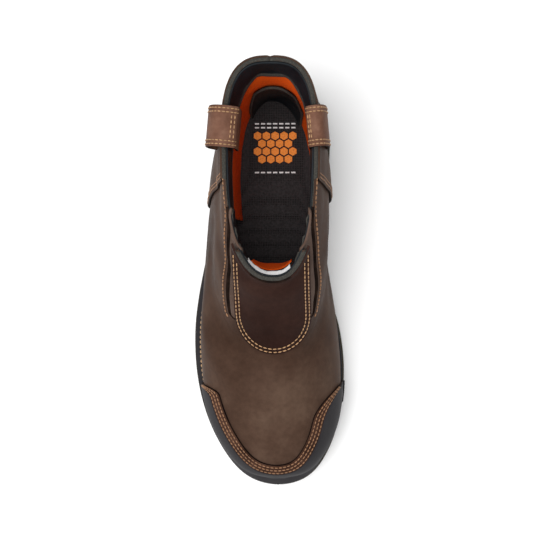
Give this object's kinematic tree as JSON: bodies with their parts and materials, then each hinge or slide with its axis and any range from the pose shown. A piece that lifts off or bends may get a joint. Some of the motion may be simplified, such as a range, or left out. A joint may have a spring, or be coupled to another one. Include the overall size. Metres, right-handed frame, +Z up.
{
  "type": "side gore work boot",
  "caption": "Pull-on ankle work boot with hidden side gores, front and back leather panels, toe guard, two pull loops and a lugged rubber sole.",
  "frame": {"origin": "centre of the boot's bounding box in plan, on the plane that the sole stands on", "axes": "+Z up, +Y from the toe to the heel along the boot, +X towards the inner side of a right foot"},
  "size_m": [0.1148, 0.313, 0.1591],
  "materials": {
    "outsole_rubber": "dull olive-black moulded rubber, lugged",
    "midsole_rubber": "matt black foamed rubber with a moulded groove",
    "welt_rubber": "matt charcoal rubber with sewn holes",
    "footbed_textile": "black brushed textile footbed",
    "upper_leather": "oiled dark brown full-grain leather, half matt, with lighter pull-up patches",
    "gore_leather": "smooth pinkish brown leather strip, half matt",
    "panel_leather": "darker reddish brown oiled leather",
    "band_leather": "brown oiled leather, closely stitched",
    "guard_rubber": "matt charcoal rubber",
    "loop_leather": "brown oiled leather strap, edge stitched"
  },
  "bodies": {
    "root": {"outsole": "outsole_rubber", "midsole": "midsole_rubber", "welt": "welt_rubber", "insole": "footbed_textile", "upper": "upper_leather", "gore_lateral": "gore_leather", "gore_medial": "gore_leather", "front_panel": "panel_leather", "back_panel": "upper_leather", "toe_band": "band_leather", "toe_guard": "guard_rubber", "pull_loop_lateral": "loop_leather", "pull_loop_medial": "loop_leather"}
  },
  "joints": []
}
